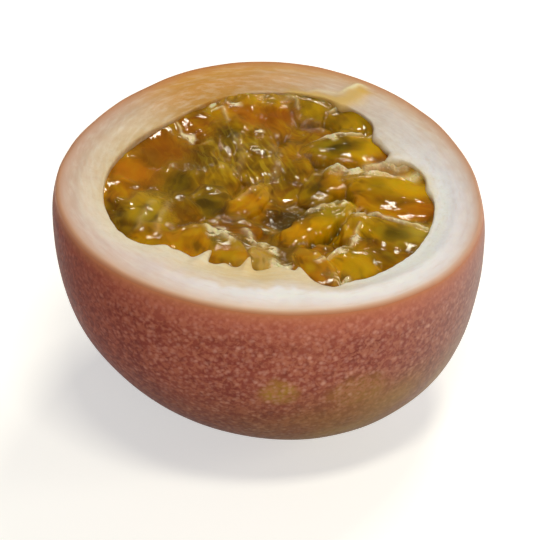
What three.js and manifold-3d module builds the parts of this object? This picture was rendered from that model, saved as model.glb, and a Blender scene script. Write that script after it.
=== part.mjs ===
// Half of a purple passion fruit, cut across and resting on its rounded skin.
//
// Millimetres, +Z up. The origin lies on the surface that the half rests on, under the middle of
// its outline. The half is shaped in a cut frame, with its origin at the middle of the cut face
// and +Z out of the fruit. That frame is then tipped sideways by CUT_TIP, as the half leans, and
// raised until the flat spot worn under it meets z = 0.
//
// shell: the thin skin with the white pith under it, one cup. Seams run down its inner wall, where
//        the seed sacs hang and the wall is thicker.
// pulp:  the seed sacs and their juice, one mass with an uneven crown of sacs on top.

import * as THREE from "three";
import { mergeVertices } from "three/addons/utils/BufferGeometryUtils.js";
import Module from "manifold-3d";

// The skin, by depth under the cut face. Its section is a superellipse about the widest ring.
const WIDEST_RADIUS = 28.4;
const WIDEST_DEPTH = 3.7;
const POLE_BELOW_WIDEST = 28.7;
const DRAWN_IN_ABOVE = 14;
const FULLNESS = 2.37;
const POLE_DRIFT = 0.1; // sideways move of each ring, for each millimetre of depth
const OUT_OF_ROUND = [
  { lobes: 2, cos: -0.015, sin: 0.042 },
  { lobes: 3, cos: -0.006, sin: -0.027 },
];

// The shell's thickness, and the seams that thicken it on the inside, in degrees and millimetres.
const WALL = 6.5;
const WALL_AT_POLE = 6;
const SEAMS = [
  { azimuth: -129, rise: 2.6, spread: 9 },
  { azimuth: -106, rise: 4.0, spread: 20 },
  { azimuth: -84, rise: 3.2, spread: 10 },
  { azimuth: 36, rise: 2.6, spread: 16 },
  { azimuth: 88, rise: 1.0, spread: 34 },
  { azimuth: 132, rise: 1.0, spread: 20 },
];
const INNER_EDGE_WIDE = 0.4; // how far the cut's inner edge is rounded, across and down
const INNER_EDGE_DEEP = 0.8;

// How the half lies.
const CUT_TIP = THREE.MathUtils.degToRad(6.5);
const FLAT_SPOT_DEPTH = 0.9;

// The pulp: a dished bed of juice and sunken sacs, and the sacs that stand out of it.
const GAP = 0.3;
const BED_DEPTH_AT_WALL = 2.8;
const BED_DEPTH_AT_MIDDLE = 4.4;
const SAC_HEIGHT = 0.8; // as a share of the sac's width

// Each sac of the crown: its middle on the cut face, the way its long axis turns from +X in
// degrees, its length and width, and how far its top lies under the cut.
const CROWN = [
  { x: 4.8, y: 20.2, turn: 95, long: 8.5, wide: 5.6, top: 0.8 },
  { x: 10.2, y: 17.8, turn: 100, long: 7.2, wide: 6.3, top: 1.1 },
  { x: 10.8, y: 11.6, turn: -12, long: 12.3, wide: 7.4, top: 0.9 },
  { x: 15.6, y: 3.0, turn: -16, long: 12.8, wide: 7.6, top: 0.7 },
  { x: 16.2, y: -1.6, turn: -22, long: 11.9, wide: 5.8, top: 1.3 },
  { x: 15.6, y: -6.6, turn: -16, long: 11.2, wide: 6.7, top: 0.9 },
  { x: 14.6, y: -11.2, turn: -28, long: 9.6, wide: 6.3, top: 1.3 },
  { x: 10.6, y: -14.0, turn: -58, long: 9.0, wide: 5.6, top: 1.4 },
  { x: 11.0, y: -7.6, turn: -104, long: 10.1, wide: 4.0, top: 1.5 },
  { x: 7.4, y: -4.4, turn: 58, long: 12.3, wide: 5.2, top: 0.9 },
  { x: 3.0, y: -9.2, turn: 8, long: 9.4, wide: 5.8, top: 1.3 },
  { x: 5.2, y: -15.6, turn: -78, long: 9.6, wide: 5.6, top: 1.3 },
  { x: -0.9, y: -14.8, turn: -88, long: 7.2, wide: 4.7, top: 1.5 },
  { x: -5.4, y: -14.6, turn: -96, long: 8.1, wide: 4.9, top: 1.4 },
  { x: -10.4, y: -12.8, turn: -94, long: 10.5, wide: 6.5, top: 1.2 },
  { x: -16.0, y: -12.8, turn: -110, long: 7.2, wide: 6.0, top: 1.5 },
  { x: -16.2, y: -7.4, turn: -102, long: 10.8, wide: 7.4, top: 1.2 },
  { x: -19.0, y: -3.0, turn: -90, long: 7.8, wide: 5.2, top: 1.6 },
  { x: -18.0, y: 2.6, turn: 100, long: 10.1, wide: 7.8, top: 1.3 },
  { x: -14.4, y: 8.2, turn: 122, long: 13.0, wide: 9.4, top: 1.1 },
  { x: -9.4, y: 13.8, turn: 150, long: 8.3, wide: 6.0, top: 1.3 },
  { x: -3.6, y: 17.2, turn: 110, long: 9.9, wide: 6.0, top: 1.1 },
  { x: -1.6, y: 20.6, turn: 80, long: 6.3, wide: 4.3, top: 1.0 },
  { x: 0.8, y: 17.4, turn: 84, long: 9.0, wide: 4.9, top: 1.4 },
  { x: -6.0, y: 12.4, turn: 84, long: 8.3, wide: 4.3, top: 1.5 },
  { x: -2.0, y: 11.8, turn: 100, long: 7.2, wide: 5.2, top: 1.5 },
  { x: -2.0, y: 6.4, turn: 70, long: 8.3, wide: 6.0, top: 1.4 },
  { x: 9.0, y: 4.6, turn: 80, long: 5.8, wide: 4.3, top: 1.6 },
  { x: -3.4, y: -2.4, turn: 56, long: 10.8, wide: 4.4, top: 1.3 },
  { x: -7.4, y: 2.4, turn: 84, long: 9.2, wide: 4.9, top: 1.5 },
  { x: -9.6, y: 7.0, turn: 74, long: 9.0, wide: 5.2, top: 1.6 },
  { x: -12.4, y: 0.4, turn: 70, long: 10.1, wide: 6.7, top: 1.5 },
  { x: -8.2, y: -4.0, turn: 86, long: 7.8, wide: 4.9, top: 1.5 },
  { x: -12.2, y: -6.0, turn: 84, long: 8.5, wide: 5.2, top: 1.6 },
];

// Mesh fineness.
const AROUND = 48;
const SKIN_RINGS = 14;
const WALL_RINGS = 9;
const EDGE_TURNS = [0, 0.3, 1];
const BED_RINGS = 3;
const SAC_AROUND = 12;
const SAC_RINGS = 6;

const POLE_DEPTH = WIDEST_DEPTH + POLE_BELOW_WIDEST;
const CAVITY_DEPTH = POLE_DEPTH - WALL_AT_POLE;

// Radius, as a share of the widest, of a superellipse section at this depth.
function sectionShare(depth, poleDepth) {
  const above = (WIDEST_DEPTH - depth) / DRAWN_IN_ABOVE;
  const below = (depth - WIDEST_DEPTH) / (poleDepth - WIDEST_DEPTH);
  const k = Math.min(1, depth < WIDEST_DEPTH ? above : below);
  return Math.pow(1 - Math.pow(k, FULLNESS), 1 / FULLNESS);
}

// How far from round the fruit is at this azimuth, as a factor that fades to 1 at the pole.
function roundness(azimuth, depth) {
  const fade = 1 - (depth / POLE_DEPTH) ** 2;
  const off = OUT_OF_ROUND.reduce(
    (sum, o) => sum + o.cos * Math.cos(o.lobes * azimuth) + o.sin * Math.sin(o.lobes * azimuth),
    0,
  );
  return 1 + fade * off;
}

function skinRadius(azimuth, depth) {
  return WIDEST_RADIUS * sectionShare(depth, POLE_DEPTH) * roundness(azimuth, depth);
}

// What the seams add to the shell's thickness at this azimuth, in millimetres.
function seamRise(azimuth) {
  return SEAMS.reduce((sum, seam) => {
    const off = azimuth - THREE.MathUtils.degToRad(seam.azimuth);
    const turn = THREE.MathUtils.radToDeg(Math.atan2(Math.sin(off), Math.cos(off)));
    return sum + seam.rise * Math.exp(-((turn / seam.spread) ** 2));
  }, 0);
}

// The cavity's radius, a gap short of the shell's wall.
function wallRadius(azimuth, depth, gap) {
  const open = WIDEST_RADIUS * roundness(azimuth, depth) - WALL - gap;
  const fade = 1 - depth / CAVITY_DEPTH;
  return open * sectionShare(depth, CAVITY_DEPTH - gap) - seamRise(azimuth) * fade;
}

function ringPoint(azimuth, depth, radius) {
  return [radius * Math.cos(azimuth) + POLE_DRIFT * depth, radius * Math.sin(azimuth), -depth];
}

// Depths from the widest ring to a pole, closer together near the pole.
function depthsToPole(poleDepth, count) {
  return Array.from({ length: count }, (_, i) => {
    const turn = ((i + 1) / (count + 1)) * (Math.PI / 2);
    return WIDEST_DEPTH + (poleDepth - WIDEST_DEPTH) * Math.sin(turn);
  });
}

// A closed surface: a first pole, rings of points given by azimuth, and a last pole.
// Rings run from the outside underneath, over the top, to the last pole.
function ringSolid(firstPole, rings, lastPole) {
  const points = [firstPole];
  for (const ring of rings) {
    for (let i = 0; i < AROUND; i++) points.push(ring((2 * Math.PI * i) / AROUND));
  }
  points.push(lastPole);
  const last = points.length - 1;
  const at = (ring, i) => 1 + ring * AROUND + (i % AROUND);
  const faces = [];
  for (let i = 0; i < AROUND; i++) {
    faces.push(0, at(0, i + 1), at(0, i));
    for (let r = 0; r + 1 < rings.length; r++) {
      faces.push(at(r, i), at(r, i + 1), at(r + 1, i + 1));
      faces.push(at(r, i), at(r + 1, i + 1), at(r + 1, i));
    }
    faces.push(at(rings.length - 1, i), at(rings.length - 1, i + 1), last);
  }
  const geometry = new THREE.BufferGeometry();
  geometry.setAttribute("position", new THREE.Float32BufferAttribute(points.flat(), 3));
  geometry.setIndex(faces);
  return geometry;
}

function skinRings() {
  const depths = [0, WIDEST_DEPTH / 2, WIDEST_DEPTH, ...depthsToPole(POLE_DEPTH, SKIN_RINGS)];
  return depths.reverse().map((d) => (a) => ringPoint(a, d, skinRadius(a, d)));
}

// The cavity's wall, from just under the cut to its pole.
function wallRings(gap) {
  const depths = [WIDEST_DEPTH, ...depthsToPole(CAVITY_DEPTH - gap, WALL_RINGS)];
  return depths.map((d) => (a) => ringPoint(a, d, wallRadius(a, d, gap)));
}

// The rounded inner edge of the cut.
function innerEdgeRings() {
  return EDGE_TURNS.map((turn) => (a) => {
    const depth = INNER_EDGE_DEEP * turn;
    const out = INNER_EDGE_WIDE * (1 - Math.sqrt(1 - (1 - turn) ** 2));
    return ringPoint(a, depth, wallRadius(a, depth, 0) + out);
  });
}

function shellCup() {
  const skinPole = ringPoint(0, POLE_DEPTH, 0);
  const cavityPole = ringPoint(0, CAVITY_DEPTH, 0);
  return ringSolid(skinPole, [...skinRings(), ...innerEdgeRings(), ...wallRings(0)], cavityPole);
}

// The room inside the cup up to the cut, short of its wall by the gap.
function cavityRoom() {
  const pole = ringPoint(0, CAVITY_DEPTH - GAP, 0);
  const mouth = (a) => ringPoint(a, 0, wallRadius(a, 0, GAP));
  return ringSolid(pole, [...wallRings(GAP).reverse(), mouth], ringPoint(0, 0, 0));
}

// The bed of the pulp: a dish that fills the cavity and reaches past its wall.
function pulpBed() {
  const bottom = ringPoint(0, POLE_DEPTH, 0);
  const side = (a) => ringPoint(a, POLE_DEPTH, WIDEST_RADIUS);
  const top = Array.from({ length: BED_RINGS }, (_, i) => 1 - i / BED_RINGS).map((share) => (a) => {
    const depth = BED_DEPTH_AT_MIDDLE + (BED_DEPTH_AT_WALL - BED_DEPTH_AT_MIDDLE) * share ** 2;
    return ringPoint(a, depth, share * WIDEST_RADIUS);
  });
  return ringSolid(bottom, [side, ...top], ringPoint(0, BED_DEPTH_AT_MIDDLE, 0));
}

function sac({ x, y, turn, long, wide, top }) {
  const high = SAC_HEIGHT * wide;
  const geometry = new THREE.SphereGeometry(0.5, SAC_AROUND, SAC_RINGS);
  geometry.rotateZ(Math.PI / 2);
  geometry.scale(long, wide, high);
  geometry.rotateZ(THREE.MathUtils.degToRad(turn));
  geometry.translate(x, y, -top - high / 2);
  return geometry;
}

const wasm = await Module();
wasm.setup();

function solidOf(geometry) {
  const bare = new THREE.BufferGeometry();
  bare.setAttribute("position", geometry.getAttribute("position"));
  bare.setIndex(geometry.index);
  const merged = mergeVertices(bare, 1e-4);
  return new wasm.Manifold(
    new wasm.Mesh({
      numProp: 3,
      vertProperties: merged.getAttribute("position").array,
      triVerts: new Uint32Array(merged.index.array),
    }),
  );
}

function geometryOf(solid) {
  const mesh = solid.getMesh();
  const geometry = new THREE.BufferGeometry();
  geometry.setAttribute("position", new THREE.BufferAttribute(mesh.vertProperties, 3));
  geometry.setIndex(new THREE.BufferAttribute(mesh.triVerts, 1));
  geometry.computeVertexNormals();
  return geometry;
}

// The largest of a solid's separate bodies, without the pockets shut in between sacs.
function mainBody(solid) {
  return solid.decompose().reduce((a, b) => (b.volume() > a.volume() ? b : a));
}

// How the tipped cup lies: its box, and the height of its flat spot.
function outlineAsItLies(cup) {
  const lying = cup.clone().rotateY(CUT_TIP);
  lying.computeBoundingBox();
  const { min, max } = lying.boundingBox;
  return { middle: min.clone().add(max).multiplyScalar(0.5), floor: min.z + FLAT_SPOT_DEPTH };
}

// A block under the floor, placed in the cut frame, that takes the flat spot off the cup.
function blockUnder(floor) {
  const side = 4 * WIDEST_RADIUS;
  const block = new THREE.BoxGeometry(side, side, side);
  block.translate(0, 0, floor - side / 2);
  return block.rotateY(-CUT_TIP);
}

function material(colour, roughness) {
  return new THREE.MeshStandardMaterial({ color: colour, roughness, metalness: 0 });
}

function shellMesh(cup, floor) {
  const cut = solidOf(cup).subtract(solidOf(blockUnder(floor)));
  const mesh = new THREE.Mesh(geometryOf(cut), material(0xa4604f, 0.45));
  mesh.name = "shell";
  return mesh;
}

function pulpMesh() {
  const sacs = CROWN.map((one) => solidOf(sac(one)));
  const heap = sacs.reduce((sum, one) => sum.add(one), solidOf(pulpBed()));
  const inside = heap.intersect(solidOf(cavityRoom()));
  const mesh = new THREE.Mesh(geometryOf(mainBody(inside)), material(0xb8860f, 0.15));
  mesh.name = "pulp";
  return mesh;
}

function passionFruitHalf() {
  const cup = shellCup();
  const { middle, floor } = outlineAsItLies(cup);
  const cutFrame = new THREE.Group();
  cutFrame.add(shellMesh(cup, floor), pulpMesh());
  cutFrame.rotation.y = CUT_TIP;
  cutFrame.position.set(-middle.x, -middle.y, -floor);
  return new THREE.Group().add(cutFrame);
}

export default passionFruitHalf();
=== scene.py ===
"""Half of a purple passion fruit: speckled skin, white pith, and a hollow full of wet seed sacs.

Everything is shaped in millimetres in the cut frame: its origin is the middle of the cut face, +Z
points out of the fruit, and depth counts down from the cut. to_world() tips that frame as the half
leans and sets it on the CAD shell's box, in metres.
"""

import math
from collections import namedtuple

import bpy
import numpy as np
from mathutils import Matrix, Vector, noise


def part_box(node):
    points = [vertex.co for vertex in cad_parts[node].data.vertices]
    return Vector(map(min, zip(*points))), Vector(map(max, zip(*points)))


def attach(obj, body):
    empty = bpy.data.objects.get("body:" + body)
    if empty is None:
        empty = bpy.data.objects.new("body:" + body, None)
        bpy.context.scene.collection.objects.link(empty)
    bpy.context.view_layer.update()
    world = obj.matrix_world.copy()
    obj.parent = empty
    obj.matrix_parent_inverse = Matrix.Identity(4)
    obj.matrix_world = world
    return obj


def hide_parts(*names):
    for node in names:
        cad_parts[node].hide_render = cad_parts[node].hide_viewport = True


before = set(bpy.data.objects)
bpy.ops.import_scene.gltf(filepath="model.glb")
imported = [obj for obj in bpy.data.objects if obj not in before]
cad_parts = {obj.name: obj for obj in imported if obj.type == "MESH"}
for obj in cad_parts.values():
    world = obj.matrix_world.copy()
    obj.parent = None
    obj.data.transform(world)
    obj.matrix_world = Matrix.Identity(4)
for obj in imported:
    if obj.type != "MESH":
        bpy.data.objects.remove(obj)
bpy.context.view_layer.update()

MM = 0.001
LAMP = (1.0, 0.95, 0.78)  # the lamps' warm white

# --- the fruit's form, as in the CAD

WIDEST_RADIUS = 28.4
WIDEST_DEPTH = 3.7
POLE_DEPTH = 32.4
DRAWN_IN_ABOVE = 14  # height over its widest ring at which the skin would close
FULLNESS = 2.37  # power of the superellipse that the skin and the hollow follow
POLE_DRIFT = 0.1  # move towards +X for each mm of depth
OUT_OF_ROUND = ((2, -0.015, 0.042), (3, -0.006, -0.027))  # lobes, cosine share, sine share
WALL = 6.5
CAVITY_DEPTH = POLE_DEPTH - 6
# Where the wall is thicker, as the sacs hang there: azimuth, rise in mm, spread in degrees.
SEAMS = (
    (-129, 2.6, 9), (-106, 4.0, 20), (-84, 3.2, 10), (36, 2.6, 16), (88, 1.0, 34), (132, 1.0, 20),
)
CUT_TIP = math.radians(6.5)  # the cut's tip towards +X


def section_share(depth, pole_depth):
    """Radius, as a share of the widest, of a superellipse section at these depths."""
    above = (WIDEST_DEPTH - depth) / DRAWN_IN_ABOVE
    below = (depth - WIDEST_DEPTH) / (pole_depth - WIDEST_DEPTH)
    k = np.clip(np.where(depth < WIDEST_DEPTH, above, below), 0, 1)
    return (1 - k**FULLNESS) ** (1 / FULLNESS)


def roundness(azimuth, depth):
    off = sum(c * np.cos(n * azimuth) + s * np.sin(n * azimuth) for n, c, s in OUT_OF_ROUND)
    return 1 + (1 - (depth / POLE_DEPTH) ** 2) * off


def skin_radius(azimuth, depth):
    return WIDEST_RADIUS * section_share(depth, POLE_DEPTH) * roundness(azimuth, depth)


def bump(azimuth, at, spread):
    """A smooth bump of height 1 round the azimuth `at`, both in degrees."""
    off = np.degrees(azimuth) - at
    off = (off + 180) % 360 - 180
    return np.exp(-((off / spread) ** 2))


def wall_radius(azimuth, depth):
    open_radius = WIDEST_RADIUS * roundness(azimuth, depth) - WALL
    seams = sum(rise * bump(azimuth, at, spread) for at, rise, spread in SEAMS)
    return open_radius * section_share(depth, CAVITY_DEPTH) - seams * (1 - depth / CAVITY_DEPTH)


def ring_points(azimuth, depth, radius):
    return np.stack([radius * np.cos(azimuth) + POLE_DRIFT * depth, radius * np.sin(azimuth), -depth], -1)


def tipped(points):
    c, s = math.cos(CUT_TIP), math.sin(CUT_TIP)
    return points @ np.array([[c, 0, -s], [0, 1, 0], [s, 0, c]])


def resting_shift():
    """How far the tipped cut frame moves, in mm, to fill the CAD shell's box from its top down."""
    azimuth, depth = np.meshgrid(np.linspace(0, 2 * math.pi, 361), np.linspace(0, POLE_DEPTH, 200))
    skin = tipped(ring_points(azimuth, depth, skin_radius(azimuth, depth)).reshape(-1, 3))
    low, high = (np.array(corner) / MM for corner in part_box("shell"))
    middle = (low + high) / 2 - (skin.min(0) + skin.max(0)) / 2
    return np.array([middle[0], middle[1], high[2] - skin[:, 2].max()])


SHIFT = resting_shift()


def to_world(points):
    world = tipped(np.asarray(points, float)) + SHIFT
    world[:, 2] = np.maximum(world[:, 2], 0)  # the flat spot
    return world * MM


# --- small tools


def wander(points, size, seed=0):
    """Smooth noise from -1 to 1 at each point, with features of about this size in mm."""
    return np.array([noise.noise(Vector(p)) for p in np.asarray(points) / size + 19.7 * seed])


def smooth_step(low, high, x):
    t = np.clip((x - low) / (high - low), 0, 1)
    return t * t * (3 - 2 * t)


def linear(srgb):
    """A colour given as 0 to 255 sRGB, as linear light."""
    c = np.asarray(srgb, float) / 255
    return np.where(c <= 0.04045, c / 12.92, ((c + 0.055) / 1.055) ** 2.4)


def mix(a, b, share):
    share = np.asarray(share)[..., None]
    return a * (1 - share) + b * share


def streaks(along, across, seed):
    """Smooth noise drawn out one way. Each place is counted in lengths and widths of a streak."""
    return wander(np.stack([along, across, 0 * along], -1), 1.0, seed)


def spot(x, y, at_x, at_y, size):
    """A smooth round spot of height 1 on the cut face."""
    return np.exp(-((x - at_x) ** 2 + (y - at_y) ** 2) / size**2)


def oval(x, y, place, power=1):
    """A smooth oval of height 1 on the cut face. A higher power gives it a sharper edge."""
    at_x, at_y, reach_x, reach_y = place
    return np.exp(-((((x - at_x) / reach_x) ** 2 + ((y - at_y) / reach_y) ** 2) ** power))


def smooth_path(points, count):
    """A Catmull-Rom curve through the points."""
    p = np.array(points, float)
    p = np.concatenate([[2 * p[0] - p[1]], p, [2 * p[-1] - p[-2]]])
    curve = []
    for t in np.linspace(0, len(p) - 3 - 1e-9, count):
        a, b, c, d = p[int(t) : int(t) + 4]
        f = t - int(t)
        squared, cubed = 2 * a - 5 * b + 4 * c - d, 3 * b - a - 3 * c + d
        curve.append(0.5 * (2 * b + (c - a) * f + squared * f * f + cubed * f**3))
    return np.array(curve)


def by_way(way, x, y, half, power=2):
    """A smooth band of height 1 along a curved line, with half its width in mm."""
    line = smooth_path(way, 24)
    off = np.full(len(x), np.inf)
    for (ax, ay), (bx, by) in zip(line[:-1], line[1:]):
        along = ((x - ax) * (bx - ax) + (y - ay) * (by - ay)) / ((bx - ax) ** 2 + (by - ay) ** 2)
        along = np.clip(along, 0, 1)
        off = np.minimum(off, np.hypot(x - ax - along * (bx - ax), y - ay - along * (by - ay)))
    return np.exp(-((off / half) ** power))


def capped_faces(rows, columns):
    """Faces of a closed tube: a first pole, rings of points, a last pole."""
    r, c = np.meshgrid(np.arange(rows - 1), np.arange(columns), indexing="ij")
    r, c = r.ravel() * columns + 1, c.ravel()
    n = (c + 1) % columns
    quads = np.stack([r + c, r + n, r + columns + n, r + columns + c], -1)
    c = np.arange(columns)
    n = (c + 1) % columns
    last = rows * columns + 1
    top = (rows - 1) * columns + 1
    first_fan = np.stack([0 * c, n + 1, c + 1], -1)
    last_fan = np.stack([top + c, top + n, 0 * c + last], -1)
    return quads.tolist() + first_fan.tolist() + last_fan.tolist()


def piece(name, points, faces, materials, fields=None, replaces=()):
    """A mesh object of the part. fields are point attributes: numbers, vectors or colours."""
    mesh = bpy.data.meshes.new(name)
    mesh.from_pydata(to_world(points).tolist(), [], faces)
    mesh.polygons.foreach_set("use_smooth", [True] * len(mesh.polygons))
    for field, values in (fields or {}).items():
        values = np.asarray(values, float)
        kind, key = ("FLOAT", "value") if values.ndim == 1 else ("FLOAT_VECTOR", "vector")
        if field == "tint":
            kind, key = "FLOAT_COLOR", "color"
            values = np.concatenate([values, np.ones((len(values), 1))], 1)
        mesh.attributes.new(field, kind, "POINT").data.foreach_set(key, values.ravel())
    for material in materials:
        mesh.materials.append(material)
    mesh.update()
    obj = bpy.data.objects.new(name, mesh)
    bpy.context.scene.collection.objects.link(obj)
    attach(obj, "root")
    if replaces:
        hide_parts(*replaces)
    return obj


# --- materials


class Nodes:
    """A material's node tree with short ways to add and join nodes."""

    def __init__(self, name, **sockets):
        self.material = bpy.data.materials.new(name)
        self.material.use_nodes = True
        self.tree = self.material.node_tree
        self.shader = self.tree.nodes["Principled BSDF"]
        for socket, value in sockets.items():
            self.shader.inputs[socket.replace("_", " ")].default_value = value

    def add(self, kind, inputs=(), **settings):
        node = self.tree.nodes.new("ShaderNode" + kind)
        for key, value in settings.items():
            setattr(node, key, value)
        for key, value in dict(inputs).items():
            self.feed(node, key, value)
        return node

    def feed(self, node, key, value):
        if isinstance(value, bpy.types.NodeSocket):
            self.tree.links.new(value, node.inputs[key])
        else:
            node.inputs[key].default_value = value

    def read(self, field):
        return self.add("Attribute", attribute_name=field)

    def number(self, field):
        return self.read(field).outputs["Fac"]

    def place(self):
        return self.add("TexCoord").outputs["Object"]

    def noise(self, size, detail=3.0, roughness=0.55, where=None, distortion=0.0):
        """Noise with features of this size in mm."""
        scale = (1 if where else 1 / MM) / size
        inputs = {"Vector": where or self.place(), "Scale": scale, "Detail": detail}
        inputs |= {"Roughness": roughness, "Distortion": distortion}
        return self.add("TexNoise", inputs).outputs["Fac"]

    def cells(self, size, randomness, where=None):
        """Cells of this size in mm."""
        inputs = {"Vector": where or self.place(), "Scale": 1 / MM / size, "Randomness": randomness}
        return self.add("TexVoronoi", inputs)

    def ramp(self, value, *stops):
        """Colours or greys by position: (position, colour or number)."""
        node = self.add("ValToRGB", {"Fac": value})
        elements = node.color_ramp.elements
        while len(elements) < len(stops):
            elements.new(0.5)
        for element, (position, colour) in zip(elements, stops):
            element.position = position
            grey = np.ndim(colour) == 0
            element.color = (colour, colour, colour, 1) if grey else (*linear(colour), 1)
        return node.outputs["Color"]

    def blend(self, share, a, b, kind="MIX"):
        node = self.add("Mix", data_type="RGBA", blend_type=kind)
        self.feed(node, 0, share)
        for key, value in ((6, a), (7, b)):
            self.feed(node, key, value if isinstance(value, bpy.types.NodeSocket) else (*linear(value), 1))
        return node.outputs[2]

    def maths(self, kind, a, b=0.0):
        node = self.add("Math", operation=kind)
        self.feed(node, 0, a)
        self.feed(node, 1, b)
        return node.outputs[0]

    def times(self, a, b):
        return self.maths("MULTIPLY", a, b)

    def plus(self, a, b):
        return self.maths("ADD", a, b)

    def set(self, socket, value):
        self.feed(self.shader, socket, value)

    def relief(self, height, strength, distance):
        """A bump of this height map, with its full height in mm."""
        node = self.add("Bump", {"Height": height, "Strength": strength, "Distance": distance * MM})
        self.set("Normal", node.outputs["Normal"])


# Pale dots of the skin: spacing in mm, the shares of it at which a dot stops being full and ends,
# and strength.
DOTS = (
    (0.65, 0.12, 0.55, 0.32),
    (1.0, 0.1, 0.42, 0.38),
    (1.7, 0.08, 0.24, 0.5),
)


def skin_material():
    m = Nodes("skin", IOR=1.15, Coat_Weight=0.03, Coat_Roughness=0.25)
    colour = m.ramp(m.noise(9, 3), (0.3, (130, 58, 48)), (0.5, (143, 68, 55)), (0.7, (155, 82, 64)))
    dark = m.ramp(m.noise(1.3, 3, 0.6, distortion=0.4), (0.34, 0.5), (0.5, 0))
    colour = m.blend(dark, colour, (112, 44, 32))
    patch = m.times(m.number("patch"), m.ramp(m.noise(1.3, 4), (0.3, 0.45), (0.65, 1)))
    colour = m.blend(patch, colour, (168, 128, 40))
    maze = m.ramp(m.noise(0.8, 3, 0.6, distortion=0.6), (0.44, 0), (0.6, 0.5))
    colour = m.blend(maze, colour, (194, 124, 96))
    for spacing, full, none, strength in DOTS:
        where = m.add("VectorMath", {0: m.place(), 1: (spacing, 0.37, 0.11)}, operation="ADD").outputs[0]
        cell = m.cells(spacing, 1.0, where)
        own = m.add("SeparateColor", {"Color": cell.outputs["Color"]}).outputs[0]
        dot = m.ramp(cell.outputs["Distance"], (full, 1), (none, 0))
        share = m.times(dot, m.times(m.ramp(own, (0.1, 0.1), (0.8, 1)), strength))
        colour = m.blend(share, colour, (222, 168, 150))
    colour = m.blend(m.times(m.number("olive"), 0.95), colour, (204, 166, 86))
    shade = m.ramp(m.number("shade"), (0, (255, 255, 255)), (0.5, (196, 190, 168)), (1.0, (144, 142, 110)))
    colour = m.blend(1.0, colour, shade, "MULTIPLY")
    # Painted shade on the left side of the skin.
    colour = m.blend(m.number("left"), colour, (180, 90, 12), "MULTIPLY")
    # Painted light: lighter from about 1 to 5 mm below the rim, less so where the left is shaded.
    upper = m.ramp(m.number("below_rim"), (0.08, 1), (0.45, 0))
    upper = m.times(upper, m.ramp(m.number("left"), (0, 0.55), (0.8, 0.15)))
    colour = m.blend(upper, colour, (210, 120, 94))
    # Painted sheen: a greyish-pink reflection on the right side of the skin.
    colour = m.blend(m.times(m.number("painted_sheen"), 0.5), colour, (158, 146, 144))
    rim = m.ramp(m.number("below_rim"), (0.045, 1), (0.08, 0.4), (0.17, 0))
    colour = m.blend(m.times(rim, 0.75), colour, (198, 128, 86))
    m.set("Base Color", colour)
    m.set("Roughness", m.ramp(m.noise(0.6, 3), (0.3, 0.42), (0.7, 0.58)))
    m.relief(m.noise(0.5, 3, 0.6), 0.3, 0.05)
    return m.material


def pith_material():
    m = Nodes("pith", IOR=1.25, Subsurface_Weight=0.25, Subsurface_Radius=(1.4, 1, 0.7), Subsurface_Scale=MM)
    colour = m.read("tint").outputs["Color"]
    strands = m.noise(1.0, 4, 0.6, m.read("grain").outputs["Vector"])
    beyond_rim = m.ramp(m.number("inward"), (0.08, 0), (0.16, 1))
    white = m.times(m.ramp(strands, (0.45, 0), (0.75, 0.3)), beyond_rim)
    white = m.times(white, m.maths("SUBTRACT", 1.0, m.number("film")))
    colour = m.blend(white, colour, (252, 249, 245))
    colour = m.blend(m.ramp(strands, (0.3, 0.15), (0.45, 0)), colour, (204, 168, 128))
    crinkle = m.noise(0.55, 3, 0.6, distortion=0.6)
    inner = m.ramp(m.number("inward"), (0.3, 0), (0.6, 1))
    specks = m.times(m.ramp(crinkle, (0.3, 0.14), (0.5, 0)), inner)
    colour = m.blend(specks, colour, (190, 168, 136))
    m.set("Base Color", colour)
    m.set("Roughness", m.ramp(m.noise(0.8, 3), (0.35, 0.28), (0.65, 0.5)))
    m.relief(m.plus(m.times(strands, 0.4), m.times(crinkle, inner)), 0.5, 0.12)
    return m.material


def gel_material():
    m = Nodes("sac_gel", Roughness=0.04, IOR=1.42, Transmission_Weight=0.4, Subsurface_Weight=0.5,
              Subsurface_Radius=(0.9, 0.4, 0.12), Subsurface_Scale=MM)
    grain = m.read("grain").outputs["Vector"]
    fibres = m.noise(1.0, 4, 0.6, grain, 0.6)
    colour = m.blend(m.ramp(fibres, (0.55, 0), (0.8, 0.2)), m.read("tint").outputs["Color"], (250, 200, 16))
    m.set("Base Color", colour)
    m.set("Transmission Weight", m.ramp(m.number("milk_and_glint"), (0, 0.4), (0.7, 0.05)))
    fold = m.maths("ABSOLUTE", m.maths("SUBTRACT", m.noise(1.0, 0, 0.5, distortion=0.8), 0.5))
    fine = m.plus(m.noise(0.6, 1, 0.5, distortion=0.8), m.times(fold, -1.2))
    wrinkles = m.times(m.number("ruffle"), fine)
    ripples = m.times(m.noise(1.0, 1, 0.5, grain), 0.1)
    m.relief(m.plus(wrinkles, ripples), 1.0, 0.4)
    return m.material


def bed_material():
    m = Nodes("pulp_core", Roughness=0.3, Subsurface_Weight=0.3, Subsurface_Scale=MM)
    cloudy = m.noise(2.6, 4, 0.6)
    colour = m.ramp(cloudy, (0.3, (136, 84, 8)), (0.45, (236, 168, 40)), (0.65, (255, 208, 84)))
    m.set("Base Color", colour)
    m.relief(cloudy, 0.5, 0.3)
    return m.material


def seed_material():
    m = Nodes("seed", Roughness=0.25, Coat_Weight=0.4, Coat_Roughness=0.05)
    pits = m.cells(0.55, 0.9).outputs["Distance"]
    m.set("Base Color", m.ramp(pits, (0.1, (22, 15, 8)), (0.5, (58, 42, 24))))
    m.relief(pits, 0.6, 0.12)
    return m.material


# --- shell

AROUND = 560  # points of each ring
OUTSIDE, INSIDE = 0, 1  # the shell's materials: skin, then pith
LIP = 0.5  # rounding where the skin meets the cut
INNER_EDGE, INNER_EDGE_DEEP = 0.4, 0.8  # rounding of the cut's inner edge, across and down
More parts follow.
